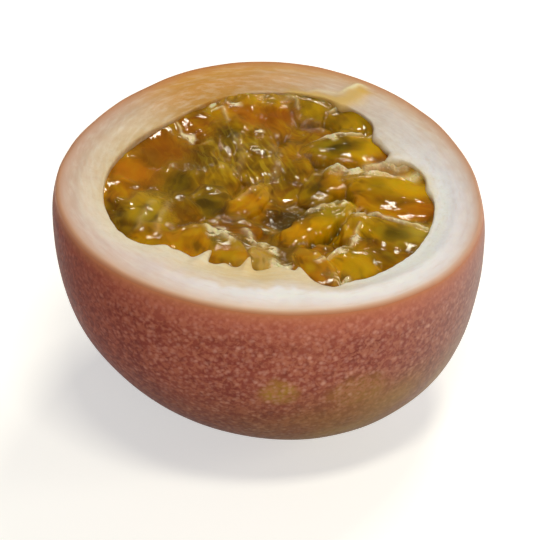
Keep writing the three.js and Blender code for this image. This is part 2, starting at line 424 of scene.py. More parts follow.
# Teeth of pith between the sacs at the cut's inner edge: azimuth, reach inward, half width in
# degrees, depth of the tip.
TEETH = (
    (-133, 0.8, 2.0, 0.9), (-118.5, 3.2, 2.0, 1.0), (-110, 0.6, 2.4, 1.2), (-101, 3.0, 2.0, 1.0),
    (-90, 0.7, 3.0, 1.4), (-78, 2.2, 2.2, 1.2), (8, 0.8, 5.0, 1.2), (29.5, 2.4, 3.0, 1.0),
    (37, 1.0, 5.0, 0.9), (45, 1.6, 4.4, 0.9), (66, 0.9, 3.0, 1.2),
)
NOTCH = (-71, 1.0, 4.5)  # azimuth, reach outward, half width in degrees


# One ring of the shell's points. inward is 0 on the skin, 0.02 where the lip's rounding ends, 0.82
# at the cut's inner edge and 0.98 on the wall of the hollow.
Ring = namedtuple("Ring", "radius depth inward material")


def tooth_reach(azimuth, depth):
    """How far the wall of the hollow reaches inward at its teeth, less the notch."""
    reach = 0 * azimuth
    for at, long, spread, tip in TEETH:
        along = np.exp(-(((depth - tip) / 1.3) ** 2))
        reach = reach + long * bump(azimuth, at, spread) * along
    at, out, spread = NOTCH
    return reach - out * bump(azimuth, at, spread) * np.exp(-depth / 3)


def cut_slope(azimuth):
    """How much of the full slope the cut's inner half has, most at the front."""
    return 0.3 + 0.7 * bump(azimuth, -90, 62)


# Colours of the cut at seven azimuths: share of the way inward, red, green, blue.
PITH = {
    -140: ((0, 180, 108, 70), (0.01, 206, 146, 104), (0.025, 220, 180, 148), (0.12, 224, 192, 168),
           (0.3, 232, 206, 186), (0.5, 244, 228, 204), (0.85, 246, 232, 198), (1, 230, 200, 128)),
    -90: ((0, 184, 114, 70), (0.01, 210, 158, 114), (0.025, 238, 210, 180), (0.12, 246, 228, 210),
          (0.26, 250, 245, 238), (0.33, 246, 239, 230), (0.39, 232, 209, 176), (0.5, 234, 205, 152),
          (0.62, 238, 202, 124), (1, 234, 192, 106)),
    -46: ((0, 184, 116, 78), (0.01, 208, 156, 118), (0.025, 236, 212, 190), (0.15, 248, 238, 228),
          (0.6, 251, 250, 244), (0.85, 250, 247, 232), (1, 234, 214, 166)),
    0: ((0, 182, 118, 84), (0.012, 202, 152, 118), (0.04, 208, 170, 140), (0.14, 217, 194, 175),
        (0.4, 226, 216, 209), (0.7, 248, 246, 240), (0.88, 244, 228, 190), (1, 240, 208, 124)),
    50: ((0, 186, 122, 84), (0.03, 206, 154, 114), (0.2, 220, 194, 164), (0.42, 226, 214, 198),
         (0.8, 222, 210, 192), (1, 220, 194, 140)),
    # At the back the cut is partly its own warmer colour and partly painted shade and orange light bounced
    # from the fruit's other half, which lay over it.
    90: ((0, 186, 112, 60), (0.03, 206, 138, 74), (0.2, 217, 155, 64), (0.55, 202, 138, 40),
         (0.8, 194, 136, 40), (1, 184, 128, 26)),
    180: ((0, 184, 112, 74), (0.012, 202, 144, 104), (0.04, 204, 154, 120), (0.14, 214, 176, 146),
          (0.5, 220, 194, 158), (0.8, 220, 190, 140), (1, 204, 162, 96)),
}

PITH_SPREAD = 32  # degrees over which one azimuth's colours pass into the next
# Juice at the back of the cut: a stain's place and reach, and the ways and half widths of a film of
# juice and of the smear along its edge, a raised line of juice painted pale as a highlight.
STAIN = (11.9, 23.4, 0.9, 1.4)
FILM = ((3.0, 21.6), (6.5, 21.1), (9.0, 20.9), (10.6, 21.8), (11.5, 23.4))
FILM_HALF = 1.45
SMEAR = ((5.0, 22.9), (7.0, 22.9), (8.8, 22.7), (10.1, 23.5), (11.4, 24.8), (12.6, 24.6))
SMEAR_HALF = 0.35
JUICE_HIGH = 0.2
STAIN_TINT, FILM_TINT, SMEAR_HIGHLIGHT = (216, 162, 60), (224, 187, 104), (255, 246, 206)
# Dull yellow patches on the front of the skin: place, reach across and down, strength.
SKIN_PATCHES = (
    ((2.3, -27.2, -12.8), 2.6, 2.5, 0.95),
    ((12.6, -24.6, -13.4), 4.5, 3.2, 0.5),
)


def pith_tint(azimuth, inward):
    tint = total = 0
    for at, stops in PITH.items():
        share = bump(azimuth, at, PITH_SPREAD)[:, None]
        where, *colours = np.array(stops).T
        own = np.stack([np.interp(inward, where, linear(colour)) for colour in colours], -1)
        tint, total = tint + share * own, total + share
    return np.clip(tint / total / np.array(LAMP), 0, 1)  # as it looks under the lamps


def cut_paint(points, inward, turned):
    """The colours of the cut, the film of juice on it with a painted highlight along its edge, and how far
    the juice stands up from it.
    """
    depth = -points[:, 2]
    uneven = 0.08 * wander(points, 2.0, 71) + 0.04 * wander(points, 0.8, 72)
    uneven *= smooth_step(0.02, 0.3, inward)
    tint = pith_tint(turned, np.clip(inward + uneven * (inward > 0.02), 0, 1))
    x = points[:, 0] + 0.5 * wander(points, 1.8, 73)
    y = points[:, 1] + 0.5 * wander(points, 1.8, 75)
    tint = mix(tint, linear(STAIN_TINT), 0.8 * oval(x, y, STAIN) * (depth < 3))
    film = by_way(FILM, x, y, FILM_HALF, 3) * (depth < 3)
    tint = mix(tint, linear(FILM_TINT), 0.85 * film)
    # Painted highlight: a pale line along the smear, strongest near x = 11 mm.
    highlight_strength = 0.3 + 0.7 * np.exp(-(((x - 11.0) / 1.3) ** 2))
    smear_and_highlight = by_way(SMEAR, x, y, SMEAR_HALF) * (depth < 2) * highlight_strength
    tint = mix(tint, linear(SMEAR_HIGHLIGHT), 0.9 * smear_and_highlight)
    return tint, film, JUICE_HIGH * smear_and_highlight + JUICE_HIGH * film


def skin_patches(points):
    patch = np.zeros(len(points))
    for at, across, down, strength in SKIN_PATCHES:
        off = points - np.array(at)
        near = np.hypot(np.hypot(off[:, 0], off[:, 1]) / across, off[:, 2] / down)
        near += 0.25 * wander(points, 1.6, 8)
        patch = np.maximum(patch, strength * (1 - smooth_step(0.55, 1.2, near)))
    return patch


def skin_rings(azimuth):
    """The skin, from near its pole up to where the lip's rounding starts."""
    rings = []
    turns = np.linspace(0.5 * math.pi, 0.02, 74)
    below = WIDEST_DEPTH + (POLE_DEPTH - WIDEST_DEPTH) * np.sin(turns)
    for level in [*below, *np.linspace(WIDEST_DEPTH, LIP, 10)]:
        depth = np.full(AROUND, level)
        radius = np.maximum(skin_radius(azimuth, depth), 0.01)
        flat = ring_points(azimuth, depth, radius)
        radius += 0.14 * wander(flat, 7) * smooth_step(0, 6, radius)
        rings.append(Ring(radius, depth, 0 * azimuth, OUTSIDE))
    return rings


def cut_rings(azimuth, rim):
    """The cut, from the lip's rounding to the teeth at its inner edge."""
    rings = []
    level = 0 * azimuth
    uneven = wander(ring_points(azimuth, level, rim), 3.5, 2)
    for turn in (0.35, 0.7, 1.0):
        angle = turn * math.pi / 2
        radius = rim - LIP * (1 - math.cos(angle))
        depth = LIP * (1 - math.sin(angle)) + 0.05 * uneven
        rings.append(Ring(radius, depth, np.full(AROUND, 0.02 * turn), INSIDE))

    outer, outer_depth = rings[-1][:2]
    inner = wall_radius(azimuth, level) + INNER_EDGE
    edge = ring_points(azimuth, level, inner)
    inner = inner + 0.22 * wander(edge, 2.2, 3) + 0.16 * wander(edge, 0.9, 9)
    teeth = tooth_reach(azimuth, level)
    for share in np.linspace(0, 1, 27)[1:]:
        radius = outer + (inner - outer) * share - teeth * share**14
        here = ring_points(azimuth, level, radius)
        crest = math.exp(-(((share - 0.48) / 0.14) ** 2))
        standing = np.clip(teeth / 3, 0, 1) * smooth_step(0.7, 1.0, share)
        dip = cut_slope(azimuth) * smooth_step(0.5, 1.0, share) - 0.12 * crest - 0.5 * standing
        dip = dip + 0.12 * wander(here, 4, 4) + 0.05 * wander(here, 1.1, 5)
        inward = np.full(AROUND, 0.02 + 0.8 * share)
        rings.append(Ring(radius, outer_depth * (1 - share) + dip, inward, INSIDE))
    return rings


def hollow_rings(azimuth, inner, edge_depth):
    """The rounding of the cut's inner edge, and the wall of the hollow down to near its pole."""
    rings = []
    for turn in (0.2, 0.4, 0.6, 0.8, 1.0):
        angle = turn * math.pi / 2
        depth = edge_depth + INNER_EDGE_DEEP * (1 - math.cos(angle))
        wall = wall_radius(azimuth, depth) - tooth_reach(azimuth, depth)
        radius = inner + (wall - inner) * math.sin(angle)
        rings.append(Ring(radius, depth, np.full(AROUND, 0.82 + 0.14 * turn), INSIDE))

    start = rings[-1].depth
    for share in np.linspace(0, 1, 44)[1:-1]:
        depth = start + (CAVITY_DEPTH - start) * math.sin(share * math.pi / 2)
        radius = wall_radius(azimuth, depth) - tooth_reach(azimuth, depth)
        here = ring_points(azimuth, depth, radius)
        radius += 0.18 * wander(here, 1.8, 6) * smooth_step(0, 6, radius)
        rings.append(Ring(np.maximum(radius, 0.02), depth, np.full(AROUND, 0.98), INSIDE))
    return rings


def shell_piece(skin, pith):
    azimuth = np.linspace(0, 2 * math.pi, AROUND, endpoint=False)
    rings = skin_rings(azimuth)
    rings += cut_rings(azimuth, rings[-1].radius)
    rings += hollow_rings(azimuth, rings[-1].radius, rings[-1].depth)
    points = [ring_points(azimuth, ring.depth, ring.radius) for ring in rings]
    first, last = ([[POLE_DRIFT * depth, 0, -depth]] for depth in (POLE_DEPTH, CAVITY_DEPTH))
    points = np.concatenate([first, *points, last])
    inward = [ring.inward for ring in rings]
    inward = np.concatenate([inward[0][:1], *inward, inward[-1][:1]])

    depth = -points[:, 2]
    off_axis = points[:, 0] - POLE_DRIFT * depth
    turned, radius = np.arctan2(points[:, 1], off_axis), np.hypot(off_axis, points[:, 1])
    height = to_world(points)[:, 2] / MM
    patch = skin_patches(points)
    tint, film, raised = cut_paint(points, inward, turned)
    points[:, 2] += raised
    fields = {
        "inward": inward,
        "shade": smooth_step(25, 2, height),
        # painted shade on the left side
        "left": 0.9 * bump(turned, 195, 48),
        "olive": bump(turned, -50, 34) * smooth_step(20, 7, height) * (0.7 + 0.6 * wander(points, 5, 74)),
        # painted sheen on the right side
        "painted_sheen": bump(turned, -8, 34),
        "below_rim": np.clip(depth / 12, 0, 1),
        "patch": patch,
        "tint": tint,
        "grain": np.stack([turned * 9, radius * 1.5, depth * 0.7], -1),
        "film": film,
    }
    faces = capped_faces(len(rings), AROUND)
    obj = piece("fruit_shell", points, faces, [skin, pith], fields, ("shell",))
    kinds = np.repeat([ring.material for ring in rings[1:]], AROUND).tolist()
    kinds += [OUTSIDE] * AROUND + [INSIDE] * AROUND
    obj.data.polygons.foreach_set("material_index", kinds)
    return obj


# --- pulp

AMBER, GOLD, ORANGE = (238, 164, 0), (255, 198, 0), (226, 138, 0)
BROWN, OLIVE, PALE = (180, 112, 0), (180, 138, 4), (238, 206, 44)
RUST, COMMON, BRIGHT, DEEP = (180, 100, 0), (236, 162, 0), (255, 206, 4), (112, 72, 0)
# The crease and hollow colours are painted shade, the rim and crest lights painted light, the milky shade
# painted shade between wrinkles, and the milky white partly a painted glint.
SEED_VEIL, SEED_HALO, CREASE_SHADE = (56, 50, 8), (124, 100, 4), (84, 56, 0)
RIM_LIGHT, CREST_LIGHT, MILK_AND_GLINT, MILK_SHADE = (255, 226, 84), (250, 208, 30), (255, 242, 206), (128, 114, 62)
HOLLOW_SHADE, POOL_DARK = (60, 36, 4), (62, 46, 4)

# The seed sacs that show: each one's middle on the cut face, the way its long axis turns from +X in
# degrees, its length and width, the depth of its top, the gel of its body and of its far end, where
# its seed lies from end to end (-1 to 1) and how clearly it shows.
Sac = namedtuple("Sac", "x y turn long wide deep body end seed_at shows")
SACS = [Sac(*values) for values in (
    (4.8, 20.2, 95, 7.6, 5.0, 0.8, OLIVE, GOLD, -0.1, 0.2),
    (10.2, 17.8, 100, 6.4, 5.6, 1.1, GOLD, GOLD, 0, 0.3),
    (10.8, 11.6, -12, 11.0, 6.6, 0.9, GOLD, AMBER, -0.75, 1.0),
    (15.6, 3.0, -16, 11.4, 6.8, 0.7, GOLD, GOLD, -0.6, 0.4),
    (16.4, -0.8, -20, 10.8, 6.0, 1.0, AMBER, ORANGE, 0.1, 0.1),
    (15.6, -6.6, -16, 10.0, 6.0, 0.9, GOLD, PALE, 0.05, 0.9),
    (14.6, -11.2, -28, 8.6, 5.6, 1.3, AMBER, BROWN, -0.1, 0.7),
    (10.6, -14.0, -58, 8.0, 5.0, 1.4, GOLD, AMBER, 0.5, 0.2),
    (11.0, -7.6, -104, 9.0, 3.6, 1.5, GOLD, AMBER, 0, 0.1),
    (5.9, -5.2, 48, 12.4, 4.0, 1.1, GOLD, PALE, 0.6, 0.35),
    (3.6, -11.4, 14, 7.4, 4.2, 1.9, (200, 140, 0), BROWN, 0.3, 0),
    (5.2, -15.6, -78, 8.6, 5.0, 1.3, AMBER, ORANGE, -0.1, 0.3),
    (-0.9, -14.8, -88, 6.4, 4.2, 1.5, (238, 204, 120), (246, 206, 60), 0, 0),
    (-5.4, -14.6, -96, 7.2, 4.4, 1.4, AMBER, ORANGE, 0.1, 0.2),
    (-10.4, -12.8, -94, 9.4, 5.8, 1.2, AMBER, ORANGE, -0.2, 0.2),
    (-16.0, -12.8, -110, 6.4, 5.4, 1.5, AMBER, GOLD, 0, 0),
    (-16.2, -7.4, -102, 9.6, 6.6, 1.2, PALE, OLIVE, 0.2, 0.3),
    (-19.0, -3.0, -90, 7.0, 4.6, 1.6, AMBER, BROWN, 0, 0),
    (-18.0, 2.6, 100, 9.0, 7.0, 1.3, ORANGE, AMBER, 0, 0),
    (-14.4, 8.2, 122, 11.6, 8.4, 1.1, BROWN, RUST, 0.4, 0),
    (-9.4, 13.8, 150, 7.4, 5.4, 1.3, RUST, RUST, -0.2, 0),
    (-3.6, 17.2, 110, 8.8, 5.4, 1.1, ORANGE, AMBER, 0, 0),
    (-1.6, 20.6, 80, 5.6, 3.8, 1.0, GOLD, GOLD, 0, 0),
    (0.8, 17.4, 84, 8.0, 4.4, 1.4, RUST, ORANGE, 0, 0),
    (4.6, 14.4, 60, 6.8, 4.4, 1.9, BROWN, BROWN, 0, 0.2),
    (-6.0, 12.4, 84, 7.4, 3.8, 1.5, OLIVE, OLIVE, 0.1, 1.0),
    (-2.0, 11.8, 100, 6.4, 4.6, 1.5, OLIVE, PALE, 0, 0.2),
    (-2.0, 6.4, 70, 7.4, 5.4, 1.7, OLIVE, AMBER, 0, 0.2),
    (3.2, 8.6, 98, 8.0, 5.0, 1.9, AMBER, AMBER, 0, 0.3),
    (6.2, 3.2, 70, 7.0, 4.6, 2.2, OLIVE, BROWN, 0, 0.7),
    (9.0, 4.6, 80, 5.2, 3.8, 1.6, AMBER, AMBER, 0, 0.1),
    (2.0, 2.8, 74, 6.8, 3.6, 2.6, BROWN, OLIVE, 0, 0.3),
    (-3.4, -2.4, 56, 9.6, 3.9, 1.3, AMBER, AMBER, -0.5, 0.1),
    (-7.4, 2.4, 84, 8.2, 4.4, 1.8, OLIVE, PALE, -0.2, 0.3),
    (-9.6, 7.0, 74, 8.0, 4.6, 1.6, OLIVE, OLIVE, -0.1, 0.9),
    (-12.4, 0.4, 70, 9.0, 6.0, 1.5, OLIVE, OLIVE, 0.1, 0.9),
    (-8.2, -4.0, 86, 7.0, 4.4, 1.5, OLIVE, OLIVE, 0.1, 1.0),
    (-12.2, -6.0, 84, 7.6, 4.6, 1.6, BROWN, OLIVE, 0, 0.4),
    (-5.0, -8.4, 30, 6.6, 4.4, 1.9, BROWN, BROWN, 0, 0.1),
    (-4.6, -11.4, 10, 5.6, 3.4, 2.0, OLIVE, AMBER, 0, 0.3),
    (1.6, -13.2, -40, 5.2, 3.6, 1.9, OLIVE, PALE, 0, 0.3),
)]
SWELL = 1.18  # a sac's outline before its neighbours press it back
SQUARENESS = 2.4  # power of that outline, where an ellipse's is 2
SAC_HIGH = 0.32  # a sac's rise over its outline, by its width
SPREAD = 0.3  # rounding of the creases, in mm
TUCKED_IN = 0.3  # how far the pulp reaches into the wall of the hollow
SKIRT = (4.0, 6.0)  # depths of the rings that close the sacs' skin below its edge
CORE_UNDER = 1.3  # how far the core's top lies under that skin
CORE_EDGE = 5.6  # depth at which the core starts to narrow
SEED_SIZE = (5.0, 3.4, 2.2)
SEED_COVER, SEED_SINK = 0.35, 0.9  # gel over a seed, and more over a hidden one
SEED_SHOWS = 0.15  # a seed that shows less than this is left out
# Juice stands in the hollow near the middle, and almost floods the sacs of the left side.
POOL_DEPTH = 3.5
FLOOD_DEPTH = 1.9
# Where the gel's skin is crumpled: place and size.
RUFFLES = (
    (8.5, 7.3, 1.3), (11.3, 6.2, 1.6), (11.9, -2.8, 1.3), (9.0, -0.8, 1.3), (7.0, -3.0, 0.6),
    (-6.4, -10.0, 1.7), (-2.1, -11.0, 1.5), (1.6, -15.2, 1.5), (8.8, -16.9, 1.3), (8.8, -11.4, 0.9),
    (-1.6, 13.4, 0.8), (-2.4, 9.4, 0.6), (7.6, 13.8, 0.9), (-4.7, 19.4, 1.1), (-0.6, 20.9, 0.9),
    (3.0, -5.0, 0.9), (-19.6, -4.6, 0.6), (10.8, -9.0, 0.7), (-0.5, -6.4, 0.8), (-11.6, 11.6, 0.8),
    (0.4, -12.6, 0.8), (-7.2, 18.0, 0.9), (-3.6, 21.6, 0.8), (-6.2, -12.3, 0.6),
)
# Wrinkled skins that stand up between the sacs, and one groove: points on the way, half width, rise,
# how milky (whitish skin, partly a painted glint).
RIDGES = (
    (((8.0, 7.3), (10.4, 6.7), (12.4, 7.4), (14.6, 8.1), (17.4, 8.4)), 0.7, 0.8, 0.9),
    (((5.8, 13.3), (9.4, 14.2), (13.4, 15.1)), 0.24, 0.4, 1.0),
    (((11.0, -3.8), (13.4, -3.0), (16.8, -4.2), (20.2, -5.2)), 0.32, 0.5, 1.0),
    (((-12.6, 13.4), (-11.6, 11.4), (-10.4, 9.8)), 0.22, 0.3, 0.8),
    (((7.8, 19.6), (9.4, 20.4), (11.4, 20.3)), 0.35, 0.4, 0.8),
    (((11.3, -5.6), (10.8, -8.0), (10.0, -10.4)), 0.3, 0.4, 0.6),
    (((12.8, 5.9), (15.6, 6.2), (19.0, 6.7)), 0.8, 0.3, 0.95),
    (((4.6, -4.0), (6.8, -2.0), (9.4, -0.4)), 0.4, 0.35, 0.7),
    (((-8.4, -9.0), (-6.8, -10.0), (-5.2, -11.4)), 0.5, 0.5, 0.9),
    (((-3.2, -8.4), (-2.2, -10.2), (-1.2, -12.2)), 0.5, 0.5, 0.9),
    (((0.4, -15.2), (1.4, -16.4)), 0.6, 0.4, 1.0),
    (((5.8, -14.4), (7.2, -12.8), (8.8, -11.2)), 0.35, 0.4, 0.8),
    (((-13.4, -5.2), (-14.4, -8.4), (-14.8, -11.8)), 0.5, 0.3, 0.2),
    (((-15.4, -5.0), (-16.6, -8.0), (-17.0, -11.0)), 0.5, 0.3, 0.2),
    (((-4.4, -2.4), (-3.0, -0.4), (-1.8, 1.6)), 0.35, 0.2, 0.2),
    (((0.4, 10.6), (0.8, 7.0), (0.2, 4.2)), 0.6, 0.3, 0.15),
    (((-4.6, 12.4), (-4.0, 8.0), (-4.6, 4.6)), 0.6, 0.3, 0.15),
    (((-6.6, 18.2), (-6.0, 15.6)), 0.3, 0.3, 0.5),
    (((1.6, 22.4), (3.0, 21.4), (3.4, 19.6)), 0.3, 0.3, 0.5),
    (((4.2, 22.2), (5.6, 22.5), (7.0, 21.6)), 0.35, 0.3, 0.6),
    (((4.8, -10.2), (7.2, -7.4), (9.2, -4.8)), 0.45, -1.0, 0.0),
)
# Places where the gel is painted another colour, lighter or darker: place, size, colour, strength.
PATCHES = (
    (16.4, 2.6, 2.8, BRIGHT, 0.8), (13.4, 13.6, 2.0, BRIGHT, 0.8), (11.8, 17.4, 1.6, BRIGHT, 0.8),
    (12.4, -6.2, 1.6, BRIGHT, 0.8), (10.4, -11.8, 1.3, BRIGHT, 0.7), (12.0, -15.0, 1.6, BRIGHT, 0.7),
    (-16.0, -14.4, 1.8, BRIGHT, 0.7), (5.8, 20.4, 1.4, BRIGHT, 0.7), (-2.2, 20.6, 1.6, BRIGHT, 0.7),
    (-5.2, -15.4, 1.4, GOLD, 0.6), (8.8, 4.6, 1.2, BRIGHT, 0.5), (3.4, -8.0, 1.8, (250, 176, 0), 0.6),
    (8.2, -3.0, 1.7, (206, 176, 20), 0.5), (-2.0, 17.0, 2.8, (200, 108, 0), 0.6),
    (18.4, -6.5, 2.0, (244, 216, 80), 0.8), (-18.4, 1.8, 3.4, (232, 150, 4), 0.7),
    (-14.6, 8.0, 3.4, (184, 106, 0), 0.7), (19.6, -0.8, 1.6, ORANGE, 0.7), (15.0, 10.0, 1.3, RUST, 0.7),
    (1.6, 18.0, 1.8, (184, 98, 0), 0.7), (-9.2, 13.6, 2.0, RUST, 0.4), (14.2, -11.6, 2.0, BROWN, 0.8),
    (7.9, 11.4, 1.8, SEED_VEIL, 0.85), (11.9, 11.4, 1.7, BRIGHT, 0.8), (5.3, 18.7, 1.3, GOLD, 0.6),
    (-8.8, 16.0, 1.9, (150, 78, 0), 0.7), (-2.6, 0.2, 2.0, BROWN, 0.4), (-1.5, 9.6, 1.4, PALE, 0.4),
    (8.2, 17.4, 1.3, SEED_HALO, 0.8), (15.8, -6.2, 1.8, SEED_HALO, 0.7), (-5.6, 12.4, 1.5, SEED_VEIL, 0.6),
    (-1.6, 8.4, 3.2, OLIVE, 0.5), (-7.0, 17.0, 1.2, GOLD, 0.6), (13.2, -2.6, 1.0, DEEP, 0.6),
    (18.6, -2.6, 1.8, (206, 116, 0), 0.6), (15.8, -0.6, 2.0, (206, 126, 0), 0.5),
    (2.1, 5.4, 2.4, DEEP, 0.6), (-4.3, -6.8, 2.0, DEEP, 0.55), (-12.4, 11.0, 2.4, (160, 88, 0), 0.4),
    (-3.4, -16.0, 1.2, (244, 204, 80), 0.5), (8.6, -17.4, 1.4, (246, 214, 110), 0.6),
    (9.4, 1.8, 1.6, GOLD, 0.6),
)


# Regions of the gel with a look of their own: place, and reach along x and y.
CALM = (-17, 5, 6.5, 7.5)  # flooded at the left, smooth and hazy
BUSY = (-3, 7, 6, 6)  # small sacs crowded together behind the middle, full of streaks
POOL = (2.6, -3.4, 3.4, 2.6)  # the dark pool of juice in the middle


def sac_frame(sac, x, y):
    """Places on the cut face as shares of a sac's half length and half width, and its outline's."""
    turn = math.radians(sac.turn)
    dx, dy = x - sac.x, y - sac.y
    along = (dx * math.cos(turn) + dy * math.sin(turn)) / (sac.long / 2)
    side = (dy * math.cos(turn) - dx * math.sin(turn)) / (sac.wide / 2)
    bend = 0.5 * math.sin(7.3 * sac.x + 3.1 * sac.y)  # another one for each sac
    side += bend * (along**2 - 0.3)
    narrowing = 1 - 0.25 * smooth_step(0, 1.2, -along)
    across = np.abs(side) / narrowing
    return along, side, (np.abs(along) ** SQUARENESS + across**SQUARENESS) ** (1 / SQUARENESS)


def sac_top(sac, x, y):
    """Height of a sac's skin over places of the cut face."""
    out = sac_frame(sac, x, y)[2] / SWELL
    dome = np.clip(1 - out**3, 0, 1) ** (1 / 3) - 1.6 * np.maximum(out - 1, 0)
    return -sac.deep - SAC_HIGH * sac.wide * (1 - dome)


def juice_level(x, y):
    flooded = smooth_step(-4, -12, x + 0.3 * y) * smooth_step(14, 8, y)
    return -(POOL_DEPTH + (FLOOD_DEPTH - POOL_DEPTH) * flooded)


def gap_to_wall(x, y):
    """The azimuth of each place on the cut face, and its distance from the wall of the hollow."""
    azimuth, radius = np.arctan2(y, x), np.hypot(x, y)
    return azimuth, wall_radius(azimuth, 0 * azimuth + 1.5) - radius


def wall_climb(x, y):
    """Height to which juice and gel climb where they touch the wall."""
    azimuth, off = gap_to_wall(x, y)
    at_wall = 0.7 - 0.4 * bump(azimuth, 80, 45) + 0.9 * cut_slope(azimuth) + 1.8 * bump(azimuth, -157, 12)
    return -at_wall - 0.8 * np.maximum(off, 0) ** 0.8


def under_the_edge(x, y):
    """The height that the gel keeps under where it meets the wall, so that the cut's edge shows."""
    azimuth, off = gap_to_wall(x, y)
    return -0.5 + 0.3 * bump(azimuth, 80, 55) - cut_slope(azimuth) + 1.8 * np.maximum(off, 0)


class PulpSkin:
    """The skin of the wet pulp over points of the cut face: its height, and the paint on it."""

    def __init__(self, points):
        x, y = points[:, 0], points[:, 1]
        self.x, self.y, self.flat = x, y, np.stack([x, y, 0 * x], -1)
        # Shifted places, which make the outlines uneven: those of the sacs more, the ridges' less.
        off_x = 1.1 * self.noise(4.5, 61) + 0.5 * self.noise(1.6, 62)
        off_y = 1.1 * self.noise(4.5, 63) + 0.5 * self.noise(1.6, 64)
        self.warped = x + off_x, y + off_y
        self.near = x + 0.25 * self.noise(1.3, 81), y + 0.25 * self.noise(1.3, 82)

        self.calm, self.busy, self.pool = oval(x, y, CALM), oval(x, y, BUSY), oval(x, y, POOL, 2)
        self.ruffled = 0.05 + sum(spot(*self.warped, *place) for place in RUFFLES)
        self.ripples = streaks((x + 0.3 * y) / 1.6, (y - 0.3 * x) / 0.4, 83)
        self.flecks = streaks((self.near[0] + 0.4 * self.near[1]) / 0.45, self.near[1] / 2.4, 47)
        self.tops = np.stack([sac_top(sac, *self.warped) for sac in SACS])
        level = np.maximum(juice_level(x, y), wall_climb(x, y))
        self.forms = np.concatenate([self.tops, level[None]])

        self.raise_sacs()
        self.raise_ridges()
        self.colour_sacs()
        self.paint_gel()
        self.paint_depths()
        self.paint_milk_and_glints()

    def noise(self, size, seed):
        return wander(self.flat, size, seed)

    def rounded(self, spread):
        """The highest of the sacs and the juice, with the creases between them rounded."""
        highest = self.forms.max(0)
        return highest + spread * np.log(np.exp((self.forms - highest) / spread).sum(0))

    def paint(self, colour, share):
        self.tint = mix(self.tint, linear(colour), share)

    def raise_sacs(self):
        """The sacs pressed into each other, crumpled in places and nearly level where it is calm."""
        height = self.rounded(SPREAD + 0.3 * smooth_step(5, -6, self.x))
        uneven = 0.14 * self.noise(2.4, 31) + 0.03 * self.noise(1.1, 34)
        height += (1 - 0.7 * self.calm) * uneven
        height += 0.06 * self.ruffled * self.noise(0.5, 32)
        height += 0.26 * self.ruffled * np.abs(self.noise(0.9, 33))
        level = -1.7 + 0.3 * self.noise(6, 35)
        self.height = height + 0.85 * self.calm * (level - height)

    def raise_ridges(self):
        """The ridges of skin, the ripples of the pool and the streaks of the busy region."""
        self.ridged = 0 * self.x
        frayed = 0.7 + 0.6 * self.noise(1.0, 84)
        for way, half, rise, milky in RIDGES:
            near = by_way(way, *self.near, half)
            self.height += rise * near * frayed
            self.ridged = np.maximum(self.ridged, milky * near)
        height = self.height + 0.1 * self.pool * self.ripples
        height += 0.6 * self.busy * (self.rounded(1.4) - 0.9 - height)
        height += 0.07 * self.busy * self.flecks
        self.height = np.minimum(height, under_the_edge(self.x, self.y) + 0.1 * self.noise(0.9, 38))

    def colour_sacs(self):
        """Each sac's gel, with painted light on its back rim and painted shade on its front rim, the shade
        of its seed and the way of its grain.
        """
        self.loose = smooth_step(6, 12, self.y) * smooth_step(6, 2, self.x)
        soft = np.exp((self.tops - self.tops.max(0)) / (0.4 + 0.7 * self.loose + 0.6 * self.calm))
        soft = soft / soft.sum(0)
        self.tint, self.grain, self.veil, self.halo = 0 * self.flat, 0 * self.flat, 0 * self.x, 0 * self.x
        for number, (sac, own) in enumerate(zip(SACS, soft)):
            along, side, out = sac_frame(sac, *self.warped)
            to_end = smooth_step(0, 1, along + 0.3 * self.noise(1.5, number))
            gel = mix(linear(sac.body), linear(sac.end), to_end)
            beyond = (self.warped[1] - sac.y) / (0.5 * sac.wide) + 0.3 * self.noise(1.7, 90 + number)
            lit_far_edge = smooth_step(0.35, 0.8, beyond) * smooth_step(0.5, 0.85, out)
            shaded_near_edge = smooth_step(-0.3, -0.8, beyond) * smooth_step(0.5, 0.9, out)
            # Painted light on the back edge of each sac and painted shade on its front edge.
            gel = mix(gel, linear(RIM_LIGHT), 0.45 * lit_far_edge)
            gel = mix(gel, linear(DEEP), 0.45 * shaded_near_edge)
            self.tint += own[:, None] * gel
            self.height += 0.2 * own * lit_far_edge * np.exp(-(((out - 0.85) / 0.12) ** 2))

            room = max(sac.long / 2 - 2.7, 0.4)  # for the seed, along the sac
            seed_along = (along * sac.long / 2 - sac.seed_at * room) / 2.4
            seed_side = side * sac.wide / 2 / 1.7
            near = np.hypot(seed_along, seed_side) + 0.35 * self.noise(1.6, 50 + number)
            self.veil += own * sac.shows * smooth_step(1.3, 0.2, near)
            self.halo += own * sac.shows * smooth_step(2.1, 0.7, near)
            grain = [along * sac.long * 0.12, side * sac.wide * 0.9, 0 * along + number * 3.7]
            self.grain += own[:, None] * np.stack(grain, -1)

    def paint_gel(self):
        """Clouds and patches in the gel, the seeds seen through it and painted shade in the creases between
        sacs.
        """
        self.paint(COMMON, 0.2)
        cloud = 0.9 * self.noise(1.9, 41) + 0.7 * wander(self.grain * np.array([1.6, 1.1, 1]), 1.0, 43)
        self.paint(BRIGHT, 0.5 * smooth_step(0, 0.6, cloud) * (1 - 0.6 * self.calm))
        self.paint(DEEP, 0.6 * smooth_step(0, -0.6, cloud) * (1 - 0.6 * self.calm))
        for at_x, at_y, size, colour, strength in PATCHES:
            self.paint(colour, strength * spot(*self.warped, at_x, at_y, size))
        self.paint(SEED_HALO, 0.5 * np.clip(self.halo, 0, 1))
        self.paint(SEED_VEIL, 0.5 * np.clip(self.veil, 0, 1))
